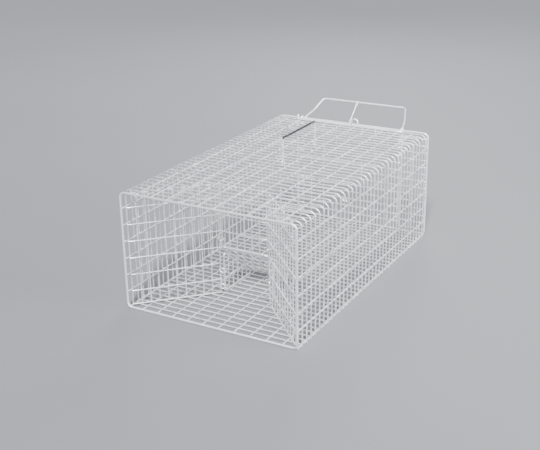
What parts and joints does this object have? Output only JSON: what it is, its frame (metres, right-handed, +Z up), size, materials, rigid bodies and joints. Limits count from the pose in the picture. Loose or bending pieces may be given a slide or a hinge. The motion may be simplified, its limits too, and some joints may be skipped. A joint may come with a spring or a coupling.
{
  "type": "live catch cage trap",
  "caption": "Welded wire live-catch cage trap with a funnel entrance, one-way flap, lifting rear door, bait rack and wire carrying handle.",
  "frame": {"origin": "middle of the underside of the trap's whole bounding box, with the handle leaning back", "axes": "+X to the right side seen from the mouth, +Y from the mouth to the rear door, +Z up"},
  "size_m": [0.2248, 0.4028, 0.161],
  "materials": {
    "mesh_wire": "galvanised welded mesh wire, bright grey with slightly duller weld points",
    "frame_wire": "galvanised frame wire, smooth satin grey",
    "clinch_ring": "bright zinc plated clinched rings",
    "stay_wire": "thin galvanised tying wire, dull",
    "rack_wire": "darkened steel wire on the roof, satin",
    "hook_wire": "plain drawn steel wire, satin"
  },
  "bodies": {
    "cage": {"top_mesh": "mesh_wire", "left_side_mesh": "mesh_wire", "right_side_mesh": "mesh_wire", "floor_mesh": "mesh_wire", "front_frame": "frame_wire", "rear_frame": "frame_wire", "rear_left_mesh": "mesh_wire", "rear_right_mesh": "mesh_wire", "left_wing": "mesh_wire", "right_wing": "mesh_wire", "throat_panel": "mesh_wire", "throat_rod": "frame_wire", "left_cheek": "mesh_wire", "right_cheek": "mesh_wire", "door_guides": "frame_wire", "wing_rings": "clinch_ring", "cheek_rings": "clinch_ring", "side_rings": "clinch_ring", "bait_rack": "rack_wire"},
    "one_way_flap": {"flap_frame": "frame_wire", "flap_mesh": "mesh_wire", "flap_rings": "clinch_ring"},
    "rear_door": {"door_frame": "frame_wire", "door_mesh": "mesh_wire", "door_loop": "frame_wire"},
    "handle": {"carry_handle": "frame_wire", "handle_stay": "stay_wire"},
    "front_hook": {"front_bait_hook": "hook_wire"},
    "rear_hook": {"rear_bait_hook": "hook_wire"}
  },
  "joints": [
    {"name": "flap_hinge", "type": "hinge", "parent": "cage", "child": "one_way_flap", "pos_m": [0, -0.12136, 0.06], "axis": [1, 0, 0], "range_deg": [0, 95]},
    {"name": "door_slide", "type": "slide", "parent": "cage", "child": "rear_door", "axis": [0, 0, 1], "range_m": [0, 0.115]},
    {"name": "handle_fold", "type": "hinge", "parent": "cage", "child": "handle", "pos_m": [0, 0.15744, 0.1388], "axis": [1, 0, 0], "range_deg": [0, 65]},
    {"name": "front_hook_swing", "type": "hinge", "parent": "cage", "child": "front_hook", "pos_m": [-0.046, 0.05318, 0.1053], "axis": [0, 1, 0], "range_deg": [-25, 25]},
    {"name": "rear_hook_swing", "type": "hinge", "parent": "cage", "child": "rear_hook", "pos_m": [-0.046, 0.1426, 0.1053], "axis": [0, 1, 0], "range_deg": [-25, 25]}
  ]
}
